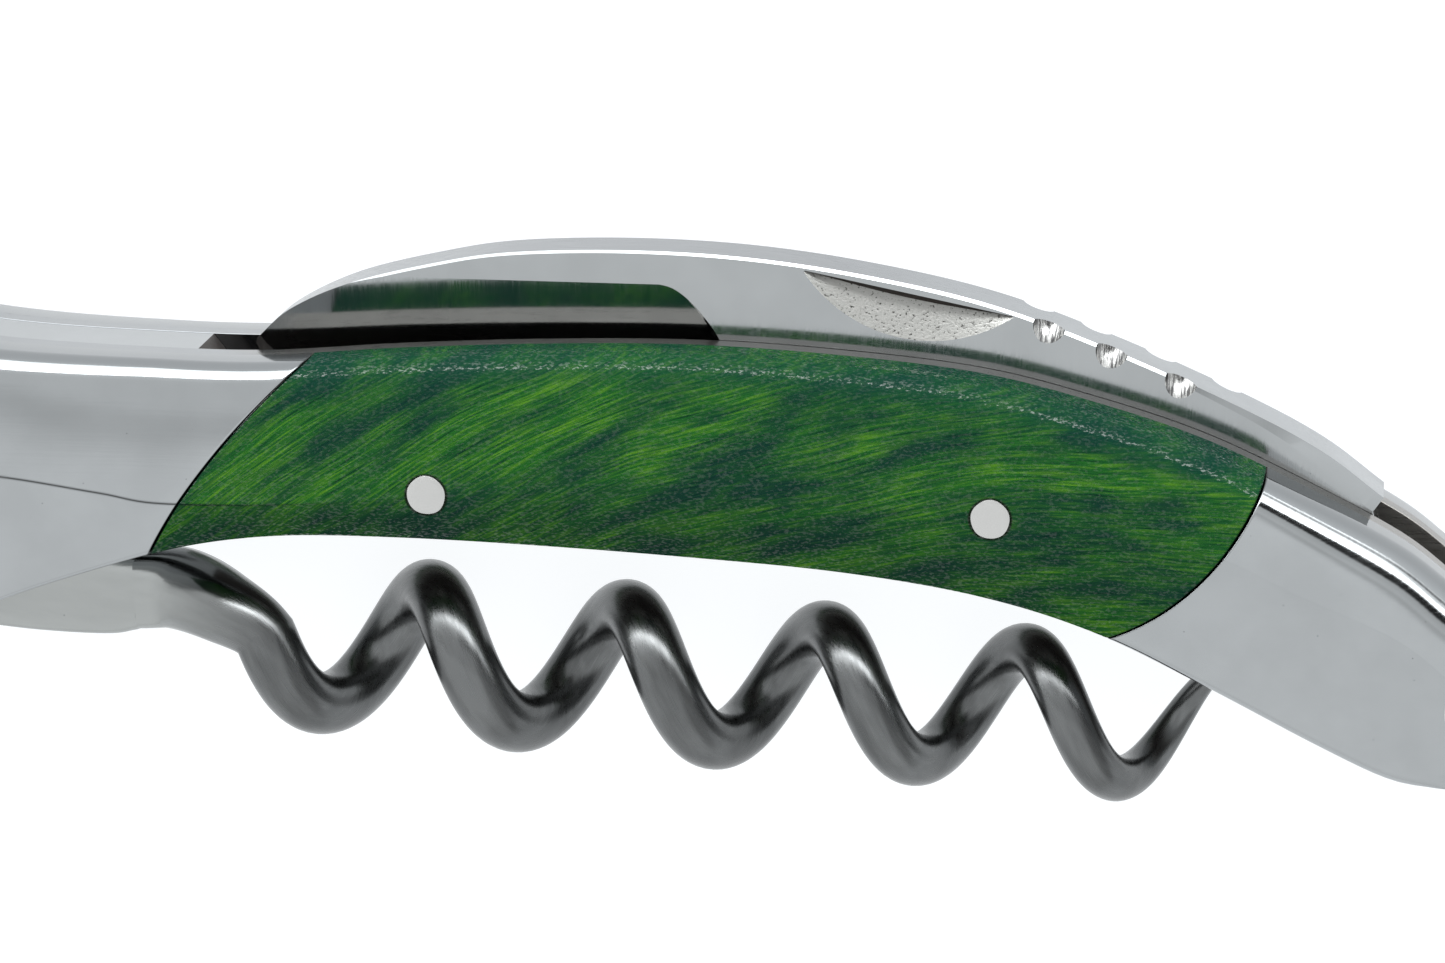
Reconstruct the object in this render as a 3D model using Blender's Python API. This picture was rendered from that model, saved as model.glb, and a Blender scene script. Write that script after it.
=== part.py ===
"""Waiter's corkscrew, folded and lying on its side.

Lengths are in millimetres in the knife's drawing plane: X runs along the handle towards the butt,
Y towards the blade's side of the handle, and Z through its thickness, with Z = 0 in the middle plane.
The drawing is then moved so that the world origin is under the middle of the folded tool.
"Left" pieces lie at +Z and "right" pieces at -Z.
"""

import math

import bmesh
import bpy
from mathutils import Vector

MM = 0.001

# Drawing origin in the world frame.
SHIFT = Vector((20.181, 1.632, 6.25))

# Layers through the thickness, as distances from the middle plane.
CORE_HALF = 1.5          # blade, lever and worm tang
SPRING_HALF = 1.55
LINER_INNER = 1.6
LINER_OUTER = 2.6
SIDE_INNER = 2.65        # bolsters and scales
SIDE_SHOULDER = 4.4
SIDE_OUTER = 6.25

# Rounded shoulder of bolsters and scales: distance in from the outline, height over the middle plane.
SHOULDER_RINGS = ((0.0, SIDE_SHOULDER), (0.3, 4.75), (1.6, 5.8), (3.2, SIDE_OUTER))
SHOULDER_LEAN = 0.4      # the ridge lies this much nearer the belly than the spine

JOINT_GAP = 0.06         # between a bolster and its scale
PIN_CLEARANCE = 0.06     # radial, in every hole

# Pivots.
BLADE_PIVOT = Vector((34.2, -7.8))
WORM_PIVOT = Vector((-39.0, -3.9))
LEVER_PIVOT = Vector((-72.5, -0.5))
PIVOT_RADIUS = 1.5
PIN_HALF_LENGTH = 6.2
PIN_SIDES = 24

# Other pins, with their radii.
FRONT_SCALE_PIN = Vector((-12.5, 0.5))
REAR_SCALE_PIN = Vector((12.7, 0.3))
SCALE_PIN_RADIUS = 0.9
SCALE_PIN_HALF_LENGTH = 6.05
SPRING_RIVET = Vector((-57.0, 3.2))
SPRING_RIVET_RADIUS = 1.2
FRONT_BOLSTER_RIVET = Vector((-31.0, 1.8))
REAR_BOLSTER_RIVET = Vector((27.5, -5.0))
BLIND_RIVET_RADIUS = 0.8
BLIND_RIVET_LOW = 1.65
BLIND_RIVET_TOP = 4.2
BLIND_HOLE_TOP = 4.3
HOLE_REACH = 9.0         # through holes are cut this far from the middle plane

# Handle outline: the butt and the head are arcs, the long sides are smooth curves.
HEAD_RADIUS = 5.4
BUTT_CENTRE = Vector((33.7, -7.8))
BUTT_RADIUS = 3.85
BUTT_START = 52.0        # degrees; the arc runs clockwise from here to straight down
SPINE = ((-72.5, 4.9), (-66.0, 6.5), (-57.0, 7.7), (-48.0, 7.7), (-40.0, 7.0), (-33.0, 6.15), (-26.0, 5.87),
         (-20.5, 5.88), (-14.3, 6.4), (-7.5, 6.8), (-0.7, 6.95), (6.0, 6.65), (12.0, 6.05), (17.0, 4.9),
         (21.7, 3.45), (26.1, 1.5), (30.6, -0.8), (33.2, -2.75))
BELLY = ((32.6, -11.6), (30.4, -11.25), (27.2, -9.85), (22.0, -7.25), (17.0, -5.0), (12.0, -3.6), (6.0, -2.75),
         (-1.0, -2.3), (-8.0, -2.0), (-14.0, -1.85), (-19.5, -1.95), (-24.0, -2.6), (-28.0, -3.85),
         (-32.6, -5.6), (-36.0, -7.3), (-39.5, -8.1), (-43.0, -6.8), (-47.0, -4.9), (-54.0, -4.2),
         (-62.0, -4.5), (-68.0, -5.3), (-72.5, -5.9))

# Where the scale meets the bolsters, from spine to belly.
FRONT_JOINT = ((-18.3, 6.0), (-22.3, 1.8), (-25.4, -2.8))
REAR_JOINT = ((24.5, 1.8), (22.7, -1.4), (18.1, -5.2))
JOINT_OVERRUN = 14.0     # degrees that a joint's arc runs past the outline
REGION_ENDS = (-90.0, 50.0)   # blocks round a bolster reach these places along the handle
REGION_HALF_WIDTH = 20.0

# Back spring: flush with the spine at the head, under the blade in the middle, along the belly to the butt.
SPRING_RECESS = 0.08
SPRING_HEAD_X = -66.5
SLOT_END_X = -23.5
SPRING_BELLY_X = (-24.0, 28.5)   # stretch that follows the belly
SPRING_SADDLE = ((-22.6, 4.2), (-20.0, 3.1), (-12.5, 2.7), (-2.0, 2.6), (8.0, 2.3), (14.0, 1.7), (19.0, -0.2),
                 (24.0, -3.0), (28.0, -5.6), (29.9, -7.2))
SPRING_TOE = (30.2, -8.6)
SPRING_LOWER_HEAD = ((-24.5, -2.65), (-28.5, -2.8), (-32.0, -1.5), (-35.0, 0.3), (-39.0, 0.75), (-46.0, 0.7),
                     (-58.0, 0.2), (-66.5, 0.4))

# Blade: back, cutting edge, and the part that stays in the slot.
BLADE_BACK = ((29.8, 0.65), (27.0, 2.7), (23.3, 4.6), (17.8, 6.95), (12.4, 8.85), (7.0, 10.0), (1.5, 10.7),
              (-4.0, 10.9), (-9.5, 10.65), (-13.2, 10.0), (-16.9, 9.0), (-19.7, 7.65), (-21.4, 6.1))
BLADE_EDGE = ((-21.5, 5.8), (-20.9, 5.0), (-19.0, 4.4), (-15.0, 4.0), (-10.0, 3.85), (-4.0, 3.8))
BLADE_PLUNGE_X = -0.6
GRIND_TOP_Y = 9.4
GRIND_EDGE_Y = 3.8
GRIND_DEPTH_Y = 2.0      # the grinding wedge reaches this far below the edge
GRIND_START_X = -24.0
CUTTER_HALF = 3.0        # cutters for the core reach this far from the middle plane
EDGE_HALF = 0.12
RICASSO = ((-0.6, 3.8), (0.6, 3.9), (6.0, 3.75), (13.0, 3.2), (19.0, 1.6), (24.0, -0.9), (28.0, -3.6), (30.7, -5.6))
TANG_RADIUS = 3.3
TANG_ARC = (150.0, 440.0)   # degrees about the blade pivot, going round below it
TANG_ARC_STEPS = 28
TANG_BACK = ((33.6, -4.75), (31.8, -3.0), (29.9, -1.6), (29.35, 0.0))
NICK = ((3.8, 10.2), (8.2, 7.35), (13.3, 8.4))
NICK_DEPTH = 0.5

# Worm: a right-handed coil whose axis runs below the belly, drawn down to a point.
WORM_START = Vector((-18.08, -8.34))
WORM_TILT = math.radians(-3.36)
WORM_PITCH = 9.23
WORM_TURNS = (-0.3, 4.5)
WORM_RADII = (2.85, 2.72)
WIRE_RADII = (1.45, 0.96)
TIP_TURNS = 0.55
TIP_RADIUS = 0.16
SHANK = ((-29.0, -6.0, 0.0), (-26.5, -5.95, 0.1), (-24.4, -5.95, 0.75), (-22.6, -6.35, 1.95))
STEPS_PER_TURN = 18
WIRE_SIDES = 8
TANG_TOP = ((-39.6, -0.25), (-36.6, -1.1), (-31.0, -3.35), (-27.5, -4.15), (-25.4, -4.5))
TANG_BOTTOM = ((-25.4, -7.3), (-28.0, -8.05), (-32.0, -7.9), (-36.0, -7.5), (-39.0, -7.5))
WORM_EYE_RADIUS = 3.65
WORM_EYE_ARC = (265.0, 100.0)
WIRE_SHARP_DEG = 50.0

# Lever: a flat bar with a cap-lifting mouth and a stepped foot for the bottle's lip.
LEVER_TANG_RADIUS = 4.2
LEVER_TANG_ARC = (286.0, -8.0)   # degrees about the lever pivot, clockwise round the head
LEVER_TANG_STEPS = 20
LEVER_TOP = ((-69.6, -1.6), (-66.0, -1.3), (-58.0, -0.9), (-52.0, -1.0), (-49.2, -1.3))
FOOT_STEP = ((-49.2, -4.4), (-45.6, -4.4))
FOOT_SOLE = ((-45.6, -7.2), (-46.2, -8.4), (-48.0, -8.8), (-51.6, -8.8))
MOUTH = ((-52.4, -8.2), (-52.9, -6.8), (-53.3, -4.4), (-55.2, -3.6), (-58.2, -3.4), (-60.6, -3.8), (-61.2, -5.6),
         (-60.6, -7.4))
LEVER_HEEL = ((-61.2, -8.7), (-63.6, -8.8), (-67.5, -7.2), (-71.2, -4.7))


def smooth(points, steps=3):
    """A Catmull-Rom curve through the points, ends included."""
    pts = [Vector(p) for p in points]
    pts = [2 * pts[0] - pts[1], *pts, 2 * pts[-1] - pts[-2]]
    curve = []
    for a, b, c, d in zip(pts, pts[1:], pts[2:], pts[3:]):
        for k in range(steps):
            t = k / steps
            even = 2 * b + (c - a) * t
            bend = (2 * a - 5 * b + 4 * c - d) * t * t + (3 * b - 3 * c + d - a) * t ** 3
            curve.append((even + bend) / 2)
    return curve + [pts[-2]]


def arc(centre, radius, start_deg, end_deg, steps=12):
    """Points on a circular arc; a falling angle runs clockwise."""
    angles = [math.radians(start_deg + (end_deg - start_deg) * k / steps) for k in range(steps + 1)]
    return [centre + radius * Vector((math.cos(a), math.sin(a))) for a in angles]


def arc_through(first, middle, last, overrun_deg=0.0, steps=10):
    """The arc through three points, carried on past both ends by some degrees."""
    a, b, c = (Vector(p) for p in (first, middle, last))
    d = 2 * (a.x * (b.y - c.y) + b.x * (c.y - a.y) + c.x * (a.y - b.y))
    aa, bb, cc = a.length_squared, b.length_squared, c.length_squared
    centre = Vector((
        (aa * (b.y - c.y) + bb * (c.y - a.y) + cc * (a.y - b.y)) / d,
        (aa * (c.x - b.x) + bb * (a.x - c.x) + cc * (b.x - a.x)) / d,
    ))
    start = math.atan2(a.y - centre.y, a.x - centre.x)
    sweep = math.remainder(math.atan2(c.y - centre.y, c.x - centre.x) - start, math.tau)
    extra = math.copysign(overrun_deg, sweep)
    start_deg = math.degrees(start) - extra
    return arc(centre, (a - centre).length, start_deg, start_deg + math.degrees(sweep) + 2 * extra, steps)


def without_doubles(points, least=0.02):
    """The closed outline without points that sit on their neighbour."""
    kept = []
    for p in points:
        if not kept or (p - kept[-1]).length > least:
            kept.append(p)
    if (kept[0] - kept[-1]).length < least:
        kept.pop()
    return kept


def inset(outline, distance, lean):
    """The anticlockwise outline moved inwards, further on the spine side than on the belly side."""
    moved = []
    for before, here, after in zip(outline[-1:] + outline[:-1], outline, outline[1:] + outline[:1]):
        along = (after - before).normalized()
        inwards = Vector((-along.y, along.x))
        moved.append(here + inwards * distance * (1 - lean * inwards.y / SHOULDER_RINGS[-1][0]))
    return moved


def material(name, colour, roughness, metallic):
    made = bpy.data.materials.new(name)
    made.use_nodes = True
    shader = made.node_tree.nodes["Principled BSDF"]
    shader.inputs["Base Color"].default_value = (*colour, 1.0)
    shader.inputs["Roughness"].default_value = roughness
    shader.inputs["Metallic"].default_value = metallic
    return made


def finish(name, mesh_data, look, origin=Vector((0, 0)), sharp_deg=30.0):
    """Turns drawing coordinates into a placed object whose origin is at the given point of the drawing."""
    pivot = Vector((origin.x, origin.y, 0.0))
    bmesh.ops.translate(mesh_data, verts=mesh_data.verts, vec=-pivot)
    bmesh.ops.scale(mesh_data, verts=mesh_data.verts, vec=(MM, MM, MM))
    bmesh.ops.recalc_face_normals(mesh_data, faces=mesh_data.faces)
    mesh = bpy.data.meshes.new(name)
    mesh_data.to_mesh(mesh)
    mesh_data.free()
    mesh.shade_smooth()
    mesh.set_sharp_from_angle(angle=math.radians(sharp_deg))
    made = bpy.data.objects.new(name, mesh)
    made.location = (pivot + SHIFT) * MM
    bpy.context.scene.collection.objects.link(made)
    if look is None:
        made.hide_render = True
        made.display_type = "WIRE"
    else:
        mesh.materials.append(look)
    return made


def stack(rings):
    """A closed solid from equal rings of 3-D points, the first and last of them filled."""
    solid = bmesh.new()
    layers = [[solid.verts.new(p) for p in ring] for ring in rings]
    count = len(layers[0])
    solid.faces.new(layers[0][::-1])
    solid.faces.new(layers[-1])
    for lower, upper in zip(layers, layers[1:]):
        for i in range(count):
            j = (i + 1) % count
            solid.faces.new((lower[i], lower[j], upper[j], upper[i]))
    return solid


def raised(points, z):
    return [Vector((p.x, p.y, z)) for p in points]


def plate(name, outline, z_low, z_high, look, origin=Vector((0, 0))):
    flat = without_doubles(outline)
    return finish(name, stack([raised(flat, z_low), raised(flat, z_high)]), look, origin)


def round_bar(name, centre, radius, z_low, z_high, look):
    """A pin, or with no look the cutter for its hole."""
    outline = arc(centre, radius, 0.0, 360.0 * (1 - 1 / PIN_SIDES), PIN_SIDES - 1)
    return finish(name, stack([raised(outline, z_low), raised(outline, z_high)]), look, centre)


def boolean(target, cutter, operation="DIFFERENCE"):
    step = target.modifiers.new(cutter.name, "BOOLEAN")
    step.operation = operation
    step.object = cutter
    step.solver = "EXACT"


def handle_outline():
    """The handle seen from its left side, anticlockwise."""
    head = arc(LEVER_PIVOT, HEAD_RADIUS, 270.0, 90.0)
    spine = smooth(SPINE)
    butt = arc(BUTT_CENTRE, BUTT_RADIUS, BUTT_START, -90.0)
    belly = smooth(BELLY)
    clockwise = without_doubles(head + spine + butt + belly)
    return clockwise[::-1]


def side_region(name, kind):
    """A tall block over the front bolster, the scale or the rear bolster."""
    front = arc_through(*FRONT_JOINT, JOINT_OVERRUN)
    rear = arc_through(*REAR_JOINT, JOINT_OVERRUN)
    shift = Vector((JOINT_GAP / 2, 0.0))
    across = (-REGION_HALF_WIDTH, REGION_HALF_WIDTH)
    corners = {
        "front": [p - shift for p in front] + [Vector((REGION_ENDS[0], y)) for y in across],
        "scale": [p + shift for p in front] + [p - shift for p in reversed(rear)],
        "rear": [p + shift for p in rear] + [Vector((REGION_ENDS[1], y)) for y in across],
    }
    return plate(name, corners[kind], -HOLE_REACH, HOLE_REACH, None)


def side_piece(name, side, kind, outline, look):
    """A bolster or scale: the shouldered half of the handle, cut to its own stretch."""
    rings = [raised(outline, side * SIDE_INNER)]
    for distance, height in SHOULDER_RINGS:
        share = distance / SHOULDER_RINGS[-1][0]
        rings.append(raised(inset(outline, distance, SHOULDER_LEAN * share), side * height))
    piece = finish(name, stack(rings), look)
    boolean(piece, side_region(f"{name}_region", kind), "INTERSECT")
    return piece


def spring_outline():
    """The back spring, clockwise from its head."""
    recess = Vector((0.0, -SPRING_RECESS))
    top = [p + recess for p in smooth(SPINE) if SPRING_HEAD_X < p.x < SLOT_END_X]
    belly = [p - recess for p in smooth(BELLY) if SPRING_BELLY_X[0] < p.x < SPRING_BELLY_X[1]]
    return top + smooth(SPRING_SADDLE) + [Vector(SPRING_TOE)] + belly + smooth(SPRING_LOWER_HEAD)


def make_blade(look):
    """The blade, ground on both sides of its front half, with a nail nick on its left side."""
    lower = smooth(BLADE_EDGE) + smooth(RICASSO)
    tang = arc(BLADE_PIVOT, TANG_RADIUS, *TANG_ARC, TANG_ARC_STEPS)
    outline = smooth(BLADE_BACK) + lower + tang + smooth(TANG_BACK)
    blade = plate("foil_blade", outline, -CORE_HALF, CORE_HALF, look, BLADE_PIVOT)
    for side in (1, -1):
        boolean(blade, grind_cutter(side))
    nick = arc_through(*NICK)
    boolean(blade, plate("nick_cutter", nick, CORE_HALF - NICK_DEPTH, CUTTER_HALF, None))
    return blade


def grind_cutter(side):
    """The wedge of steel that grinding takes off one side of the blade."""
    section = ((GRIND_TOP_Y, CORE_HALF + 0.001), (GRIND_EDGE_Y, EDGE_HALF), (GRIND_DEPTH_Y, EDGE_HALF),
               (GRIND_DEPTH_Y, CUTTER_HALF), (GRIND_TOP_Y, CUTTER_HALF))
    ends = (GRIND_START_X, BLADE_PLUNGE_X)
    rings = [[Vector((x, y, side * z)) for y, z in section] for x in ends]
    return finish(f"grind_cutter_{side}", stack(rings), None)


def worm_point(turn):
    """A point on the coil's centre line; turn 0 is its first low point."""
    share = turn / WORM_TURNS[1]
    radius = WORM_RADII[0] + (WORM_RADII[1] - WORM_RADII[0]) * max(share, 0.0)
    along = Vector((math.cos(WORM_TILT), math.sin(WORM_TILT), 0.0))
    across = Vector((-math.sin(WORM_TILT), math.cos(WORM_TILT), 0.0))
    angle = math.tau * turn
    start = Vector((WORM_START.x, WORM_START.y, 0.0))
    out = -math.cos(angle) * across - math.sin(angle) * Vector((0.0, 0.0, 1.0))
    return start + along * WORM_PITCH * turn + out * radius


def wire_radius(turn):
    share = max(turn, 0.0) / WORM_TURNS[1]
    radius = WIRE_RADII[0] + (WIRE_RADII[1] - WIRE_RADII[0]) * share ** 2
    left = min((WORM_TURNS[1] - turn) / TIP_TURNS, 1.0)
    return TIP_RADIUS + (radius - TIP_RADIUS) * max(left, 0.0) ** 0.7


def worm_path():
    """Centre points and radii from the shank to the tip."""
    count = round((WORM_TURNS[1] - WORM_TURNS[0]) * STEPS_PER_TURN)
    turns = [WORM_TURNS[0] + (WORM_TURNS[1] - WORM_TURNS[0]) * k / count for k in range(count + 1)]
    coil = [worm_point(t) for t in turns]
    lead = smooth([*SHANK, tuple(coil[0]), tuple(coil[3])], 4)[:-5]
    return lead + coil, [WIRE_RADII[0]] * len(lead) + [wire_radius(t) for t in turns]


def swept(points, radii, sides):
    """A round bar along a path, its rings kept from twisting."""
    rings = []
    across = Vector((0.0, 0.0, 1.0))
    for k, point in enumerate(points):
        along = (points[min(k + 1, len(points) - 1)] - points[max(k - 1, 0)]).normalized()
        across = (across - along * across.dot(along)).normalized()
        other = along.cross(across)
        angles = [math.tau * i / sides for i in range(sides)]
        rings.append([point + (across * math.cos(a) + other * math.sin(a)) * radii[k] for a in angles])
    return stack(rings)


def make_worm(look):
    """The wire worm forged in one piece with its flat tang."""
    points, radii = worm_path()
    worm = finish("worm", swept(points, radii, WIRE_SIDES), look, WORM_PIVOT, WIRE_SHARP_DEG)
    tang = smooth(TANG_TOP) + smooth(TANG_BOTTOM) + arc(WORM_PIVOT, WORM_EYE_RADIUS, *WORM_EYE_ARC)
    boolean(worm, plate("tang_block", tang, -CORE_HALF, CORE_HALF, None), "UNION")
    return worm


def make_lever(look):
    eye = arc(LEVER_PIVOT, LEVER_TANG_RADIUS, *LEVER_TANG_ARC, LEVER_TANG_STEPS)
    outline = eye + smooth(LEVER_TOP) + [Vector(p) for p in FOOT_STEP] + smooth(FOOT_SOLE)
    outline += smooth(MOUTH) + smooth(LEVER_HEEL)
    return plate("lever", outline, -CORE_HALF, CORE_HALF, look, LEVER_PIVOT)


def drill(pieces, name, centre, radius, z_low=-HOLE_REACH, z_high=HOLE_REACH):
    """One hole, for the named pin, through all the pieces."""
    cutter = round_bar(f"{name}_hole", centre, radius + PIN_CLEARANCE, z_low, z_high, None)
    for piece in pieces:
        boolean(piece, cutter)


def make_part():
    for old in list(bpy.data.objects):
        bpy.data.objects.remove(old)
    steel = material("polished_steel", (0.62, 0.64, 0.66), 0.18, 1.0)
    blade_steel = material("blade_steel", (0.60, 0.62, 0.64), 0.15, 1.0)
    worm_steel = material("worm_steel", (0.42, 0.43, 0.45), 0.22, 1.0)
    pin_steel = material("pin_steel", (0.55, 0.56, 0.57), 0.35, 1.0)
    scale_look = material("dyed_scale", (0.02, 0.13, 0.05), 0.25, 0.0)

    outline = handle_outline()
    liners = {}
    sides = {}
    for label, side in (("left", 1), ("right", -1)):
        low, high = sorted((side * LINER_INNER, side * LINER_OUTER))
        liners[label] = plate(f"liner_{label}", outline, low, high, steel)
        sides["front", label] = side_piece(f"front_bolster_{label}", side, "front", outline, steel)
        sides["scale", label] = side_piece(f"scale_{label}", side, "scale", outline, scale_look)
        sides["rear", label] = side_piece(f"rear_bolster_{label}", side, "rear", outline, steel)
    spring = plate("back_spring", spring_outline(), -SPRING_HALF, SPRING_HALF, steel)
    blade = make_blade(blade_steel)
    worm = make_worm(worm_steel)
    lever = make_lever(steel)

    both_liners = list(liners.values())

    def through(kind, *core):
        return [*core, *both_liners, sides[kind, "left"], sides[kind, "right"]]

    long_pins = (
        ("blade_pivot_pin", BLADE_PIVOT, PIVOT_RADIUS, through("rear", blade)),
        ("worm_pivot_pin", WORM_PIVOT, PIVOT_RADIUS, through("front", worm)),
        ("lever_pivot_pin", LEVER_PIVOT, PIVOT_RADIUS, through("front", lever)),
        ("front_scale_pin", FRONT_SCALE_PIN, SCALE_PIN_RADIUS, through("scale", spring)),
        ("rear_scale_pin", REAR_SCALE_PIN, SCALE_PIN_RADIUS, through("scale", spring)),
        ("spring_rivet", SPRING_RIVET, SPRING_RIVET_RADIUS, through("front", spring)),
    )
    for name, centre, radius, pieces in long_pins:
        half = SCALE_PIN_HALF_LENGTH if radius == SCALE_PIN_RADIUS else PIN_HALF_LENGTH
        drill(pieces, name, centre, radius)
        round_bar(name, centre, radius, -half, half, pin_steel)

    for label, side in (("left", 1), ("right", -1)):
        for kind, centre in (("front", FRONT_BOLSTER_RIVET), ("rear", REAR_BOLSTER_RIVET)):
            name = f"{kind}_bolster_rivet_{label}"
            hole = sorted((side * CORE_HALF, side * BLIND_HOLE_TOP))
            rivet = sorted((side * BLIND_RIVET_LOW, side * BLIND_RIVET_TOP))
            drill([liners[label], sides[kind, label]], name, centre, BLIND_RIVET_RADIUS, *hole)
            round_bar(name, centre, BLIND_RIVET_RADIUS, *rivet, pin_steel)


make_part()
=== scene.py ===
"""Looks of the folded waiter's corkscrew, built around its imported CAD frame.

Shapes are drawn in millimetres in the knife's own drawing plane: X runs along the handle towards the butt,
Y towards the blade's side and Z through the thickness, with Z = 0 in the middle plane. A finished piece is
moved into the frame by ORIGIN and turned into metres.
"""

import math

import bmesh
import bpy
import numpy as np
from mathutils import Matrix, Vector

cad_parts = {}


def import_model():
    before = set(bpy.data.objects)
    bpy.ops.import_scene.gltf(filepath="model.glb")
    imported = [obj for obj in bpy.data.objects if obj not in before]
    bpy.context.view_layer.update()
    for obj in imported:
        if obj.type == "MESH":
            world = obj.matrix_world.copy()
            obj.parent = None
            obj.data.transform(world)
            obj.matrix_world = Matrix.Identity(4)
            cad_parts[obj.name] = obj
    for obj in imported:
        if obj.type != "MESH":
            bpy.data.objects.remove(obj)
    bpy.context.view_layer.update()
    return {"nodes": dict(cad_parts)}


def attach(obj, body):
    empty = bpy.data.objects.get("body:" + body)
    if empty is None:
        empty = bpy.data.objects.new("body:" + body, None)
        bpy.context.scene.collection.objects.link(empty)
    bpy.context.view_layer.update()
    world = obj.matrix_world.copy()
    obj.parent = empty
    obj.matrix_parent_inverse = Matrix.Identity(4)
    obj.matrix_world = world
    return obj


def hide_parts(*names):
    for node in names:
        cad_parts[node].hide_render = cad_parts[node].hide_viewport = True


MM = 0.001
TINY = 1e-6
ORIGIN = Vector((20.181, 1.632, 6.25))   # the drawing's zero point in the frame
THROUGH = Vector((0.0, 0.0, 1.0))        # the direction through the thickness

# Layers, as distances from the middle plane.
CORE_HALF = 1.5
SPRING_HALF = 1.58
LINER_INNER = 1.6
SIDE_INNER = 2.62
SIDE_OUTER = 6.22
THIN_BEVEL = 0.02        # of the liners and the spring

# Pivots and pins: place and radius.
BLADE_PIVOT = Vector((34.2, -7.8))
WORM_PIVOT = Vector((-39.0, -3.9))
LEVER_PIVOT = Vector((-72.5, -0.5))
PIVOT_RADIUS = 1.5
EYE_CLEARANCE = 0.04     # between a pivot pin and the eye that turns on it
SCALE_PIN_RADIUS = 0.9
PINS = {
    "blade_pivot_pin": (BLADE_PIVOT, PIVOT_RADIUS),
    "worm_pivot_pin": (WORM_PIVOT, PIVOT_RADIUS),
    "lever_pivot_pin": (LEVER_PIVOT, PIVOT_RADIUS),
    "front_scale_pin": (Vector((-12.5, 0.5)), SCALE_PIN_RADIUS),
    "rear_scale_pin": (Vector((12.7, 0.3)), SCALE_PIN_RADIUS),
    "spring_rivet": (Vector((-57.0, 3.2)), 1.2),
}
BLIND_RIVETS = [f"{end}_bolster_rivet_{side}" for end in ("front", "rear") for side in ("left", "right")]
PIN_SIDES = 48
PIN_PROFILE = ((1.0, -0.05), (0.985, -0.005), (0.95, 0.012), (0.6, 0.02), (0.25, 0.026))   # radius, lift
PIN_WAVES = (0.02, 0.012)        # how much a pin's rim swings twice and five times on its way round
PIN_SHADE = (0.04, 0.12)         # the dark line round a scale pin fades between these distances from it

# Handle outline.
HEAD_RADIUS = 5.4
BUTT_CENTRE = Vector((33.7, -7.8))
BUTT_RADIUS = 3.85
BUTT_START = 52.0
END_STEPS = 60
SPINE = ((-72.5, 4.9), (-66, 6.5), (-57, 7.7), (-48, 7.7), (-40, 7), (-33, 6.15), (-26, 5.87),
         (-20.5, 5.88), (-14.3, 6.4), (-7.5, 6.8), (-0.7, 6.95), (6, 6.65), (12, 6.05), (17, 4.9),
         (21.7, 3.45), (26.1, 1.5), (30.6, -0.8), (33.2, -2.75))
BELLY = ((32.6, -11.6), (30.4, -11.25), (27.2, -9.85), (22, -7.25), (17, -5), (12, -3.6),
         (6, -2.75), (-1, -2.3), (-8, -2), (-14, -1.85), (-19.5, -1.95), (-24, -2.6),
         (-28, -3.85), (-32.6, -5.6), (-36, -7.3), (-39.5, -8.1), (-43, -6.8), (-47, -4.9),
         (-54, -4.2), (-62, -4.5), (-68, -5.3), (-72.5, -5.9))
FRONT_JOINT = ((-25.4, -2.8), (-22.3, 1.8), (-18.3, 6))
REAR_JOINT = ((18.1, -5.2), (22.7, -1.4), (24.5, 1.8))
JOINT_OVERRUN = 14.0     # degrees by which a joint's arc is drawn past the handle's edges
JOINT_STEPS = 2000
JOINT_GAP = 0.07
JOINT_ROUND = 0.1
JOINT_LINE = 0.03        # width of its grime
BELLY_SHADE = 0.6        # strength of the painted shadow line along the belly's edge, where X is below the next value
BELLY_SHADE_X = -24.0
BELLY_SHADE_WIDTH = 0.12

# Side surfaces: the ridge between the two facets, and how they fall away from it at stations along it.
RIDGE = ((-72.5, -0.5), (-64, 0.6), (-54, 1.4), (-44, 1.3), (-37, 0.95), (-32.1, 0.7), (-27.5, 0.1),
         (-24.3, -0.3), (-16.9, 0), (-8, 1), (2, 1.3), (12, 0.9), (19, 0.1), (23.1, -1.2),
         (26.3, -2.7), (30.7, -4.6), (33.7, -7))
STATION_X = (-72.5, -50, -33, -25, -19, -8, 8, 19, 23, 28, 33.7)
SPINE_EDGE_Z = (5.05, 5, 5, 4.65, 4.85, 5.1, 5.2, 5.35, 5.7, 5.75, 5.6)
BELLY_EDGE_Z = (4.95, 4.6, 4.5, 5.3, 5.1, 5, 5, 5, 5.2, 5.4, 5.6)
SPINE_CREASE = (1, 0.75, 0.7, 0.65, 0.4, 0.1, 0, 0.1, 0.6, 0.8, 1)   # 1 is a flat facet, 0 a bulged one
BELLY_CREASE = (1, 0.9, 0.9, 0.85, 0.4, 0, 0, 0, 0.3, 0.6, 1)
FALL_POWER = (2, 3, 3, 3, 2.5, 2, 2, 2.2, 3, 3, 2)       # how late a bulged facet falls
EDGE_ROUND = (1, 1, 1, 0.85, 0.8, 0.85, 0.85, 1, 1.3, 1.8, 1.9)
BELLY_ROUND = 0.3        # share of that rounding which the belly's edge has
CREASE_WIDTH = 0.05      # of the painted shade line along the ridge
CREASE_END_X = (-15, -23)   # it fades from the second place to the first
SPINE_REACH = 4.0        # distance over which the nearness to the spine falls to nothing

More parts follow.
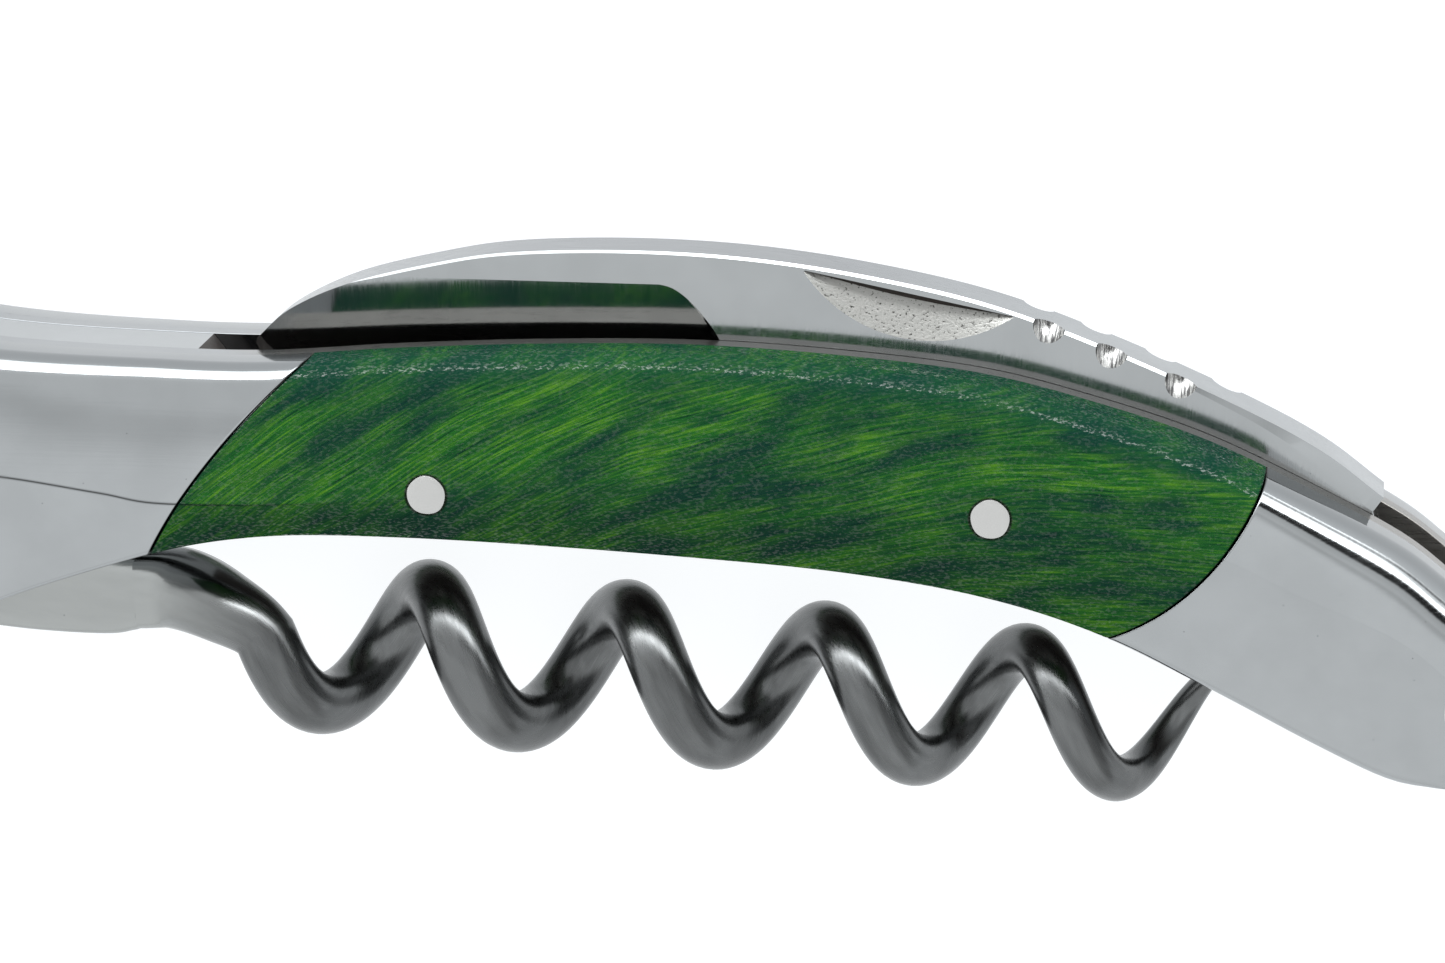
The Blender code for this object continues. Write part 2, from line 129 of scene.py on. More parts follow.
# Mesh of a side piece: close steps at its edges, coarse ones along it and across each half.
FINE_STEPS = (0, 0.02, 0.05, 0.09, 0.14, 0.2, 0.28, 0.38, 0.5, 0.66, 0.85, 1.1, 1.4, 1.8)
STEP_ALONG = 0.45
STEP_ACROSS = 0.4
HALF_WIDTH = 5.0
TRIAL_STEPS = 400
RIDGE_SHARES = (0.05, 0.95)     # the ridge's line stays between these shares of the width
CROSSING_STEPS = 4000
CROSSING_GAP = 0.05      # least step in X from a joint's crossing to the curve's next point
WELD = 0.002

# Back spring.
SPRING_RECESS = 0.02
SPRING_HEAD_X = -66.5
SLOT_END_X = -23.5
SPRING_BELLY_X = (-24, 28.5)
SPRING_SADDLE = ((-22.6, 4.2), (-20, 3.1), (-12.5, 2.7), (-2, 2.6), (8, 2.3), (14, 1.7),
                 (19, -0.2), (24, -3), (28, -5.6), (29.9, -7.2))
SPRING_TOE = (30.2, -8.6)
SPRING_LOWER_HEAD = ((-24.5, -2.65), (-28.5, -2.8), (-32, -1.5), (-35, 0.3), (-39, 0.75), (-46, 0.7),
                     (-58, 0.2), (-66.5, 0.4))

# Blade.
BLADE_BACK = ((29.8, 0.65), (27, 2.7), (23.3, 4.6), (17.8, 6.95), (12.4, 8.85), (7, 10), (1.5, 10.7),
              (-4, 10.9), (-9.5, 10.65), (-13.2, 10), (-16.9, 9), (-19.7, 7.65), (-21.4, 6.1))
BLADE_EDGE = ((-21.5, 5.8), (-20.9, 5), (-19, 4.4), (-15, 4), (-10, 3.85), (-4, 3.8))
RICASSO = ((-0.6, 3.8), (0.6, 3.9), (6, 3.75), (13, 3.2), (19, 1.6), (24, -0.9), (28, -3.6),
           (30.7, -5.6))
TANG_RADIUS = 3.3
TANG_ARC = (150, 440)
TANG_STEPS = 90
TANG_BACK = ((33.6, -4.75), (31.8, -3), (29.9, -1.6), (29.35, 0))
CHAMFER = ((-21.4, 0.06), (-16, 0.1), (0, 0.12), (20, 0.14), (24, 0.3), (29.8, 0.8))
CHAMFER_DEPTH = 0.1
FINE_CHAMFER = 0.03      # away from the back
SAME_POINT = 0.001
GRIND_TOP_Y = 9.4
GRIND_SLOPE = 0.27
GRIND_CORNER = Vector((-24, 2))   # outside the blade, past its tip and its edge
GRIND_OVER = 0.05
GRIND_OUTER_Z = 1.8
PLUNGE = ((-2.9, 9.45), (-2.1, 9.25), (-1.4, 8.7), (-0.8, 7.9), (-0.3, 6.95), (0, 5.6), (0.1, 3.2))
PLUNGE_LEAN = 0.55
EDGE_HALF = 0.05         # half the thickness left at the cutting edge
EDGE_END = (-0.7, 3.8)
BEVEL_UNDER = 0.3        # the bevel's cutter starts this far under the edge
BEVEL_HEIGHT = 2.1       # and ends this far over it,
BEVEL_OUTER_Z = 1.2      # at this height over the middle plane
NICK = ((3.8, 10.25), (8.2, 7.35), (13.3, 8.4))
NICK_DEPTH = 0.55
NICK_FULLNESS = 0.6      # the smaller, the fuller its ends
NICK_RIM = 0.6           # share of the depth at the top of its upper wall
NICK_FOOT = 0.16         # share of its height at which it is deepest
NICK_RUN_OUT = (1.2, 0.2)   # its cutter goes on to these shares of its height and, above the steel, its depth
NICK_CLEARANCE = 1.0
NICK_SHARES = (0.01, 0.99)
NICK_STEPS = 40
STEEP = 0.9              # share of a face's normal above which the face counts as facing that way
BLASTED_FACE, DARK_FACE, FILED_FACE, BACK_FACE = 1, 2, 3, 4   # material places on the blade
BACK_NEAR = 0.4          # faces this near the back's curve belong to it, if their normal's Y is
BACK_NORMAL = (0.2, 0.3)    # above the first value and its Z below the second
TIP_DARK = 0.7           # length of the back's end painted dark as shadow
NOTCH_X = (14.9, 17.7, 20.8)
FAR_NOTCH_X = (14.2, 16.8, 19.7, 22.7)
NOTCH_SIZE = (0.78, 1.35, 0.8)
NOTCH_LEAN = math.radians(38)
NOTCH_OUT = 0.12

# Worm.
WORM_START = Vector((-18.08, -8.34))
WORM_TILT = math.radians(-3.36)
WORM_PITCH = 9.23
WORM_TURNS = (-0.3, 4.5)
WORM_RADII = (2.85, 2.72)
TURN_STEPS = 64
WIRE_RADII = (1.45, 0.96)
WIRE_SIDES = 40
TIP_TURNS = 0.55
TIP_RADIUS = 0.16
TIP_POWER = 0.7
ROUND = 2.0              # squareness of an ellipse
SHANK = ((-25.3, -5.92, 0.3), (-23, -6.3, 1.7))
SHANK_RADIUS = 1.8
SHANK_SQUARENESS = 5.0
SHANK_STEPS = 12
COIL_AIM = 10            # point of the coil that the shank's curve heads for
WORM_TANG_TOP = ((-39.6, -0.25), (-36.6, -1.1), (-31, -3.35), (-28.6, -3.98), (-27.2, -4.12))
WORM_TANG_LOW = ((-39.3, -7.53), (-36, -7.6), (-32, -7.95), (-28.6, -8.05), (-27.2, -7.82))
WORM_TANG_SQUARENESS = 14.0
WORM_TANG_STEPS = 40
WORM_EYE_RADIUS = 3.65
WORM_EYE_TOP = (178, 100)
WORM_EYE_LOW = (182, 265)
WORM_EYE_STEPS = 30

# Lever.
LEVER_BEVEL = 0.12
LEVER_EYE_RADIUS = 4.2
LEVER_EYE_ARC = (286, -8)
LEVER_TOP = ((-69.6, -1.6), (-66, -1.3), (-58, -0.9), (-52, -1), (-49.2, -1.3))
FOOT_STEP = ((-49.2, -4.4), (-45.6, -4.4))
FOOT_SOLE = ((-45.6, -7.2), (-46.2, -8.4), (-48, -8.8), (-51.6, -8.8))
MOUTH = ((-52.4, -8.2), (-52.9, -6.8), (-53.3, -4.4), (-55.2, -3.6), (-58.2, -3.4), (-60.6, -3.8),
         (-61.2, -5.6), (-60.6, -7.4))
LEVER_HEEL = ((-61.2, -8.7), (-63.6, -8.8), (-67.5, -7.2), (-71.2, -4.7))

# Steel: shares of its tone, and where its clouds, pits and darker edges start and end; the darker edges by
# the spine are painted shade.
NOISE_SPREAD = (0.3, 0.7)
CLOUD_SPREAD = (0.35, 0.65)
CLOUD_TONE = 0.94
PITS_PER_MM = 1.1
PIT_RIM = (0.02, 0.05)
PIT_STRENGTH = 0.6
PIT_TONE = 0.4
# painted shade on the steel next to the spine
SPINE_EDGE = (0.88, 0.95)
SPINE_EDGE_TONE = 0.78
# DARK_LINE_TONE: painted shade along the crease and the belly's edge, and grime at the joints
DARK_LINE_TONE = 0.12
MARK_DEPTH = 0.02        # millimetres, as for the other bumps

# Fibres of the scales: where they start in the frame, their slope there, how it levels out, their sway.
FIBRE_START_X = -5.0
FIBRE_SLOPE = 0.8
FIBRE_BEND = 0.0088
FIBRE_SWAY = 0.35

# Greens of the scales.
DEEP_GREEN = (0.003, 0.020, 0.014)
MID_GREEN = (0.008, 0.060, 0.010)
BRIGHT_FIBRE = (0.07, 0.17, 0.009)
FINE_FIBRE = (0.025, 0.11, 0.011)
DARK_FIBRE = (0.001, 0.011, 0.007)
# SPINE_GREEN: painted shade near the spine
SPINE_GREEN = (0.004, 0.030, 0.018)
# CREASE_GREEN: painted shade along the crease and the belly's edge, and grime at the joints
CREASE_GREEN = (0.002, 0.010, 0.006)
PIN_GREEN = (0.004, 0.008, 0.004)

# Camera: direction from the object, distance and lens.
CAMERA_ELEVATION = math.radians(14.5)
CAMERA_AZIMUTH = math.radians(7.75)
CAMERA_DISTANCE = 227.27
CAMERA_LENS = 124.57
SENSOR_WIDTH = 36.0
CAMERA_CLIP = (0.01, 20.0)   # metres

# Studio: brightness of the surroundings by direction, in degrees from straight up towards the blade side.
SURROUNDINGS = ((-180, 1.1), (-100, 1.1), (-62, 1.35), (-25, 1.32), (-15, 1.24), (0, 1.4), (5, 1.35),
                (11, 1.02), (15, 1.0), (19, 1.2), (26, 1.2), (38, 1.2), (53, 1.4), (56, 12.0), (65, 12.0),
                (70, 4.5), (98, 3.6), (110, 1.1), (150, 1.0), (180, 1.0))
BUTT_STREAKS = ((-180, 1.0), (5, 1.0), (19, 0.95), (34, 0.8), (37, 0.05), (51, 0.05), (54, 0.8), (60, 1.0),
                (76, 0.9), (80, 0.25), (84, 0.25), (88, 1.0), (112, 1.6), (150, 1.0), (180, 1.0))
STREAK_SIDE = (0.08, 0.2)        # the streaks fade in between these sideways shares of a direction
BUTT_SIDE = (0.58, 0.72, 0.45)   # from the first to the second sideways share the light falls to the third
STUDIO_TINT = (0.985, 1.0, 1.01)
FLOOR_HALF = 3.0         # metres
FLOOR_DROP = 0.05        # millimetres
FLOOR_TONES = ((0.20, 0.20, 0.205), (0.22, 0.22, 0.22))
FLOOR_GLOW = (0.975, 1.0, 1.02)
FLOOR_GLOW_STRENGTH = 0.88
WHITE = (1.0, 1.0, 1.0)


# ---- curves

def array_of(points):
    return np.array([tuple(p) for p in points])


def smooth(points, steps=8):
    """A Catmull-Rom curve through the points, ends included."""
    pts = [Vector(p) for p in points]
    pts = [2 * pts[0] - pts[1], *pts, 2 * pts[-1] - pts[-2]]
    curve = []
    for a, b, c, d in zip(pts, pts[1:], pts[2:], pts[3:]):
        for k in range(steps):
            t = k / steps
            even = 2 * b + (c - a) * t
            bend = (2 * a - 5 * b + 4 * c - d) * t * t + (3 * b - 3 * c + d - a) * t ** 3
            curve.append((even + bend) / 2)
    return curve + [pts[-2]]


def arc(centre, radius, start_deg, end_deg, steps):
    """Points on a circular arc; a falling angle runs clockwise."""
    angles = [math.radians(start_deg + (end_deg - start_deg) * k / steps) for k in range(steps + 1)]
    return [centre + radius * Vector((math.cos(a), math.sin(a))) for a in angles]


def arc_through(first, middle, last, overrun_deg=0.0, steps=80):
    """The arc through three points, drawn on past both ends by some degrees."""
    a, b, c = (Vector(p) for p in (first, middle, last))
    d = 2 * (a.x * (b.y - c.y) + b.x * (c.y - a.y) + c.x * (a.y - b.y))
    aa, bb, cc = a.length_squared, b.length_squared, c.length_squared
    centre = Vector((
        (aa * (b.y - c.y) + bb * (c.y - a.y) + cc * (a.y - b.y)) / d,
        (aa * (c.x - b.x) + bb * (a.x - c.x) + cc * (b.x - a.x)) / d,
    ))
    start = math.atan2(a.y - centre.y, a.x - centre.x)
    sweep = math.remainder(math.atan2(c.y - centre.y, c.x - centre.x) - start, math.tau)
    extra = math.copysign(overrun_deg, sweep)
    start_deg = math.degrees(start) - extra
    return arc(centre, (a - centre).length, start_deg, start_deg + math.degrees(sweep) + 2 * extra, steps)


def without_doubles(points, least=0.02):
    kept = []
    for p in points:
        if not kept or (p - kept[-1]).length > least:
            kept.append(p)
    if (kept[0] - kept[-1]).length < least:
        kept.pop()
    return kept


def at_shares(curve, shares):
    """Points at the given shares of a polyline's length."""
    pts = array_of(curve)
    lengths = np.concatenate([[0.0], np.cumsum(np.linalg.norm(np.diff(pts, axis=0), axis=1))])
    lengths /= lengths[-1]
    return np.stack([np.interp(shares, lengths, pts[:, k]) for k in range(pts.shape[1])], axis=1)


def nearest(points, curve):
    """Distance of each point from a polyline."""
    corners = array_of(curve)
    run = np.diff(corners, axis=0)
    size = np.maximum((run ** 2).sum(axis=1), TINY ** 2)
    best = np.full(len(points), np.inf)
    for start, along, squared in zip(corners, run, size):
        away = points - start
        t = np.clip(away @ along / squared, 0.0, 1.0)
        best = np.minimum(best, ((away - t[:, None] * along) ** 2).sum(axis=1))
    return np.sqrt(best)


def counter_clockwise(outline):
    area = sum(p.x * q.y - q.x * p.y for p, q in zip(outline, outline[1:] + outline[:1]))
    return outline if area > 0 else outline[::-1]


def inset(outline, distance):
    """A counter-clockwise outline moved inwards by a distance that may differ from point to point."""
    folded, least_miter = 0.2, 0.6
    moved = []
    for i, here in enumerate(outline):
        before = (here - outline[i - 1]).normalized()
        after = (outline[(i + 1) % len(outline)] - here).normalized()
        normal = Vector((-before.y - after.y, before.x + after.x))
        if normal.length < folded:
            moved.append(here.copy())
            continue
        normal.normalize()
        reach = distance(here) if callable(distance) else distance
        miter = max(normal.dot(Vector((-after.y, after.x))), least_miter)
        moved.append(here + normal * reach / miter)
    return moved


# ---- meshes

def object_from(mesh_data, name):
    bmesh.ops.recalc_face_normals(mesh_data, faces=mesh_data.faces)
    mesh = bpy.data.meshes.new(name)
    mesh_data.to_mesh(mesh)
    mesh_data.free()
    made = bpy.data.objects.new(name, mesh)
    bpy.context.scene.collection.objects.link(made)
    return made


def stack(name, rings):
    """A closed solid from equal rings of 3-D points, the first and last of them filled."""
    solid = bmesh.new()
    layers = [[solid.verts.new(p) for p in ring] for ring in rings]
    count = len(layers[0])
    solid.faces.new(layers[0][::-1])
    solid.faces.new(layers[-1])
    for lower, upper in zip(layers, layers[1:]):
        for i in range(count):
            j = (i + 1) % count
            solid.faces.new((lower[i], lower[j], upper[j], upper[i]))
    return object_from(solid, name)


def raised(points, z):
    return [Vector((p.x, p.y, z)) for p in points]


def slab(name, outline, z_low, z_high, bevel, bevel_depth=None, bevel_low=True, bevel_high=True):
    """A plate with bevelled edges; the bevel may be a function of the outline's point."""
    flat = counter_clockwise(without_doubles(outline))
    depth = bevel if bevel_depth is None else bevel_depth
    small = inset(flat, bevel)
    rings = [raised(flat, z_low)]
    if bevel_low:
        rings = [raised(small, z_low), raised(flat, z_low + depth)]
    if bevel_high:
        rings += [raised(flat, z_high - depth), raised(small, z_high)]
    else:
        rings.append(raised(flat, z_high))
    return stack(name, rings)


def cut(target, *cutters):
    """Takes the cutters out of the target and removes them."""
    for cutter in cutters:
        step = target.modifiers.new(cutter.name, "BOOLEAN")
        step.object = cutter
        step.operation = "DIFFERENCE"
        step.solver = "EXACT"
    bpy.context.view_layer.update()
    view = bpy.context.evaluated_depsgraph_get()
    mesh = bpy.data.meshes.new_from_object(target.evaluated_get(view))
    target.modifiers.clear()
    target.data = mesh
    for cutter in cutters:
        bpy.data.objects.remove(cutter)


def eye_cutter(pivot, reach=9.0, sides=48):
    """The bore of an eye that turns on a pivot pin."""
    ring = arc(pivot, PIVOT_RADIUS + EYE_CLEARANCE, 0.0, 360.0 * (1 - 1 / sides), sides - 1)
    return stack("eye", [raised(ring, -reach), raised(ring, reach)])


def finish(piece, body, look, sharp_deg=30.0):
    """look may be several materials, for the material places of the piece's faces.
    """
    piece.data.transform(Matrix.Diagonal((MM, MM, MM, 1.0)) @ Matrix.Translation(ORIGIN))
    piece.data.shade_smooth()
    piece.data.set_sharp_from_angle(angle=math.radians(sharp_deg))
    places = [face.material_index for face in piece.data.polygons]
    piece.data.materials.clear()
    for one in look if isinstance(look, (tuple, list)) else (look,):
        piece.data.materials.append(one)
    for face, place in zip(piece.data.polygons, places):
        face.material_index = place
    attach(piece, body)
    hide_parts(piece.name.removesuffix("_look"))


# ---- handle

HEAD = arc(LEVER_PIVOT, HEAD_RADIUS, 270.0, 90.0, END_STEPS)
BUTT = arc(BUTT_CENTRE, BUTT_RADIUS, -90.0, BUTT_START, END_STEPS)
SPINE_CURVE = smooth(SPINE) + [BUTT[-1]]
BELLY_CURVE = smooth(BELLY)[::-1] + [BUTT[0]]
SPINE_SIDE = HEAD + SPINE_CURVE + BUTT[::-1]
BELLY_SIDE = HEAD[::-1] + BELLY_CURVE + BUTT
HANDLE_OUTLINE = SPINE_SIDE + BELLY_CURVE[::-1]
RIDGE_CURVE = smooth(RIDGE)


def ridge_height(x):
    """The ridge's Y at places along the handle."""
    ridge = array_of(RIDGE_CURVE)
    return np.interp(x, ridge[:, 0], ridge[:, 1])


def facet_value(x, above, spine_values, belly_values):
    """A quantity given at the stations, on the spine's facet above the ridge and on the belly's below it."""
    return np.where(above, np.interp(x, STATION_X, spine_values), np.interp(x, STATION_X, belly_values))


def edge_drop(distance, radius):
    """How far a rounded edge lies below a sharp one, at a distance from it."""
    short = np.clip(radius - distance, 0.0, None)
    return radius - np.sqrt(np.maximum(radius ** 2 - short ** 2, 0.0))


def side_height(points):
    """Height of the side surface over the middle plane, at points of the drawing."""
    x = points[:, 0]
    above = points[:, 1] >= ridge_height(x)
    from_ridge = nearest(points, RIDGE_CURVE)
    from_spine = nearest(points, SPINE_SIDE)
    from_belly = nearest(points, BELLY_SIDE)
    edge_z = facet_value(x, above, SPINE_EDGE_Z, BELLY_EDGE_Z)
    crease = facet_value(x, above, SPINE_CREASE, BELLY_CREASE)
    share = from_ridge / np.maximum(from_ridge + np.where(above, from_spine, from_belly), TINY)
    fall = crease * share + (1.0 - crease) * share ** np.interp(x, STATION_X, FALL_POWER)
    top = SIDE_OUTER - (SIDE_OUTER - edge_z) * fall
    at_belly = np.clip(1.0 - from_belly / np.maximum(from_spine, TINY), 0.0, 1.0)
    rounding = np.interp(x, STATION_X, EDGE_ROUND) * (1.0 - (1.0 - BELLY_ROUND) * at_belly)
    return top - edge_drop(nearest(points, HANDLE_OUTLINE), rounding)


def spaced(length, coarse):
    """Shares of a length with close steps at both ends and coarse ones between."""
    ends = np.array([f for f in FINE_STEPS if f < length / 3])
    count = max(int((length - 2 * ends[-1]) / coarse), 2)
    middle = np.linspace(ends[-1], length - ends[-1], count + 1)[1:-1]
    return np.concatenate([ends, middle, (length - ends)[::-1]]) / length


def trimmed(curve, joint, keep_right):
    """The part of a spine or belly curve on one side of a joint, and where the joint crosses it."""
    dense = at_shares(curve, np.linspace(0.0, 1.0, CROSSING_STEPS))
    gaps = ((dense[:, None, :] - array_of(joint)[None, ::4, :]) ** 2).sum(axis=2)
    cross = dense[np.unravel_index(gaps.argmin(), gaps.shape)[0]]
    pts = array_of(curve)
    if keep_right:
        return np.vstack([cross, pts[pts[:, 0] > cross[0] + CROSSING_GAP]]), cross
    return np.vstack([pts[pts[:, 0] < cross[0] - CROSSING_GAP], cross]), cross


def between(joint, low, high):
    """The stretch of a joint's arc from its belly crossing to its spine crossing."""
    pts = array_of(joint)
    i = ((pts - low) ** 2).sum(axis=1).argmin()
    j = ((pts - high) ** 2).sum(axis=1).argmin()
    return np.vstack([low, pts[i + 1:j], high])


def region(kind):
    """Boundary curves of a side piece: belly, spine, front end, rear end."""
    half = Vector((JOINT_GAP / 2, 0.0))
    front = arc_through(*FRONT_JOINT, JOINT_OVERRUN, JOINT_STEPS)
    rear = arc_through(*REAR_JOINT, JOINT_OVERRUN, JOINT_STEPS)
    belly, spine, left, right = BELLY_CURVE, SPINE_CURVE, HEAD, BUTT
    if kind != "front":
        joint = [p + half for p in (front if kind == "scale" else rear)]
        belly, low = trimmed(belly, joint, True)
        spine, high = trimmed(spine, joint, True)
        left = between(joint, low, high)
    if kind != "rear":
        joint = [p - half for p in (front if kind == "front" else rear)]
        belly, low = trimmed(belly, joint, False)
        spine, high = trimmed(spine, joint, False)
        right = between(joint, low, high)
    return belly, spine, left, right


def plan_grid(kind):
    """Plan points that fill a side piece, closest at its edges and the ridge, and its two end curves."""
    belly, spine, left, right = region(kind)
    along = spaced(np.linalg.norm(np.diff(array_of(spine), axis=0), axis=1).sum(), STEP_ALONG)
    u = along[:, None, None]
    low, high = at_shares(belly, along), at_shares(spine, along)

    def columns(v):
        """Coons patch at across-shares v, one row of them per column."""
        head = at_shares(left, v.reshape(-1)).reshape(*v.shape, 2)
        tail = at_shares(right, v.reshape(-1)).reshape(*v.shape, 2)
        w = v[..., None]
        corners = ((1 - u) * (1 - w) * low[0] + (1 - u) * w * high[0]
                   + u * (1 - w) * low[-1] + u * w * high[-1])
        return (1 - w) * low[:, None] + w * high[:, None] + (1 - u) * head + u * tail - corners

    trial = columns(np.tile(np.linspace(0.0, 1.0, TRIAL_STEPS), (len(along), 1)))
    under = trial[..., 1] < ridge_height(trial[..., 0])
    crossing = np.clip(under.sum(axis=1) / TRIAL_STEPS, *RIDGE_SHARES)[:, None]
    half = spaced(HALF_WIDTH, STEP_ACROSS)
    v = np.concatenate([half[None, :] * crossing, crossing + half[None, 1:] * (1 - crossing)], axis=1)
    return columns(v), left, right


def grime_and_painted_shade(flat, joints):
    """How dark a side is at each point: painted shade along the crease, a painted shadow along the belly's
    edge, grime at the joints.
    """
    x = flat[:, 0]
    # painted shade along the crease
    fade = np.interp(x, CREASE_END_X[::-1], (1.0, 0.0))
    dark = fade * np.exp(-(nearest(flat, RIDGE_CURVE) / CREASE_WIDTH) ** 2)
    # painted shadow along the belly's edge
    at_edge = np.clip(1.0 - nearest(flat, BELLY_CURVE) / BELLY_SHADE_WIDTH, 0.0, 1.0)
    dark = np.maximum(dark, np.where(x < BELLY_SHADE_X, BELLY_SHADE, 0.0) * at_edge)
    # grime in the joints
    for joint in joints:
        dark = np.maximum(dark, np.clip(2.0 - nearest(flat, joint) / JOINT_LINE, 0.0, 1.0))
    return dark


def side_piece(name, side, kind):
    """A bolster or scale with its shaped outer surface, flat against the liner."""
    plan, left, right = plan_grid(kind)
    joints = [end for end, outer_kind in ((left, "front"), (right, "rear")) if kind != outer_kind]
    rows, cols = plan.shape[:2]
    flat = plan.reshape(-1, 2)
    heights = side_height(flat)
    for joint in joints:
        heights -= edge_drop(nearest(flat, joint), JOINT_ROUND)
    solid = bmesh.new()
    # dark_line holds painted shade along the crease and the belly's edge, and grime at the joints
    dark_line = solid.verts.layers.float.new("dark_line")
    # toward_spine sets painted shade near the spine
    toward_spine = solid.verts.layers.float.new("toward_spine")
    top = [solid.verts.new((p[0], p[1], side * z)) for p, z in zip(flat, heights)]
    for vertex, dark, away in zip(top, grime_and_painted_shade(flat, joints), nearest(flat, SPINE_SIDE)):
        vertex[dark_line] = dark
        vertex[toward_spine] = max(0.0, 1.0 - away / SPINE_REACH)
    grid = [top[i * cols:(i + 1) * cols] for i in range(rows)]
    for i in range(rows - 1):
        for j in range(cols - 1):
            solid.faces.new((grid[i][j], grid[i + 1][j], grid[i + 1][j + 1], grid[i][j + 1]))
    rim = grid[0][:-1] + [row[-1] for row in grid[:-1]] + grid[-1][:0:-1] + [row[0] for row in grid[:0:-1]]
    low = [solid.verts.new((v.co.x, v.co.y, side * SIDE_INNER)) for v in rim]
    for i, (upper, lower) in enumerate(zip(rim, low)):
        lower[toward_spine] = upper[toward_spine]
        solid.faces.new((rim[i - 1], upper, lower, low[i - 1]))
    solid.faces.new(low)
    bmesh.ops.remove_doubles(solid, verts=solid.verts, dist=WELD)
    return object_from(solid, name)


def spring_outline():
    recess = Vector((0.0, -SPRING_RECESS))
    top = [p + recess for p in smooth(SPINE) if SPRING_HEAD_X < p.x < SLOT_END_X]
    belly = [p - recess for p in smooth(BELLY) if SPRING_BELLY_X[0] < p.x < SPRING_BELLY_X[1]]
    return top + smooth(SPRING_SADDLE) + [Vector(SPRING_TOE)] + belly + smooth(SPRING_LOWER_HEAD)


def make_spring(looks):
    """The back spring, its edges painted near-black as shade from the slot's end to the butt, polished ones
    at its head.
    """
    spring = slab("back_spring_look", spring_outline(), -SPRING_HALF, SPRING_HALF, THIN_BEVEL)
    # edges past the slot's end get the near-black steel as painted shade
    for face in spring.data.polygons:
        face.material_index = int(face.center.x > SLOT_END_X - 0.1 and abs(face.normal.z) < STEEP)
    finish(spring, "handle", looks)


def make_liner(label, side, look):
    """A full-length plate, bevelled on its inner side only."""
    low, high = sorted((side * LINER_INNER, side * SIDE_INNER))
    liner = slab(f"liner_{label}_look", HANDLE_OUTLINE, low, high, THIN_BEVEL,
                 bevel_low=side > 0, bevel_high=side < 0)
    finish(liner, "handle", look)


def make_pin(name, centre, radius, look):
    """A pin peened and polished flush with both side surfaces."""
    angles = np.linspace(0.0, math.tau, PIN_SIDES, endpoint=False)
    twofold, fivefold = PIN_WAVES
    uneven = 1 + twofold * np.sin(2 * angles + 40 * radius) + fivefold * np.sin(5 * angles + centre.x)
    rings = []
    for share, lift in PIN_PROFILE:
        reach = radius * share * uneven
        plan = np.stack([centre.x + reach * np.cos(angles), centre.y + reach * np.sin(angles)], axis=1)
        heights = side_height(plan) + lift
        rings.append([Vector((x, y, z)) for (x, y), z in zip(plan, heights)])
    mirrored = [[Vector((p.x, p.y, -p.z)) for p in ring] for ring in rings]
    pin = stack(f"{name}_look", mirrored[::-1] + rings)
    finish(pin, "handle", look, sharp_deg=40.0)


def make_handle(polished, liner_look, scale_look, pin_look):
    for label, side in (("left", 1), ("right", -1)):
        for kind, name, look, slot in (("front", "front_bolster", polished, "polished_steel"),
                                       ("scale", "scale", scale_look, "dyed_scale"),
                                       ("rear", "rear_bolster", polished, "polished_steel")):
            piece = side_piece(f"{name}_{label}_look", side, kind)
            finish(piece, "handle", look, sharp_deg=40.0)
        make_liner(label, side, liner_look)
    make_spring((polished, painted_shade_steel()))
    for name, (centre, radius) in PINS.items():
        make_pin(name, centre, radius, pin_look)


# ---- blade

BACK_POINTS = smooth(BLADE_BACK)


def back_height(x):
    """The Y of the blade's back at a place along it."""
    places, heights = zip(*sorted((p.x, p.y) for p in BACK_POINTS))
    return float(np.interp(x, places, heights))


def chamfer_width(point):
    """How wide the blade's chamfer is at a point of its outline: wide along the back, fine elsewhere."""
    if min((point - p).length for p in BACK_POINTS) >= SAME_POINT:
        return FINE_CHAMFER
    places, widths = zip(*CHAMFER)
    return float(np.interp(point.x, places, widths))


def ground_face(y):
    """Height of the ground face over the middle plane."""
    return CORE_HALF - GRIND_SLOPE * (GRIND_TOP_Y - y)


def grind_cutter(side):
    """The steel that grinding takes off one side of the blade, with a curved plunge at its end."""
    plunge = smooth(PLUNGE, 5)
    start = Vector((GRIND_CORNER.x, GRIND_TOP_Y + GRIND_OVER))
    plan = [start, *plunge, Vector((0.0, GRIND_CORNER.y)), GRIND_CORNER]
    low = [Vector((p.x, p.y, side * ground_face(p.y))) for p in plan]
    high = []
    for k, p in enumerate(plan):
        lean = PLUNGE_LEAN * (GRIND_OUTER_Z - ground_face(p.y)) if 0 < k <= len(plunge) + 1 else 0.0
        high.append(Vector((p.x + lean, p.y, side * GRIND_OUTER_Z)))
    return stack(f"grind_{side}", [low, high])


def bevel_cutter(side):
    """Takes the last of the blade's thickness away at the cutting edge."""
    rings = []
    for p in smooth(BLADE_EDGE, 4) + [Vector(EDGE_END)]:
        section = ((-BEVEL_UNDER, -EDGE_HALF), (-BEVEL_UNDER, BEVEL_OUTER_Z),
                   (BEVEL_HEIGHT, BEVEL_OUTER_Z), (0.0, EDGE_HALF))
        rings.append([Vector((p.x, p.y + up, side * z)) for up, z in section])
    return stack(f"bevel_{side}", rings)


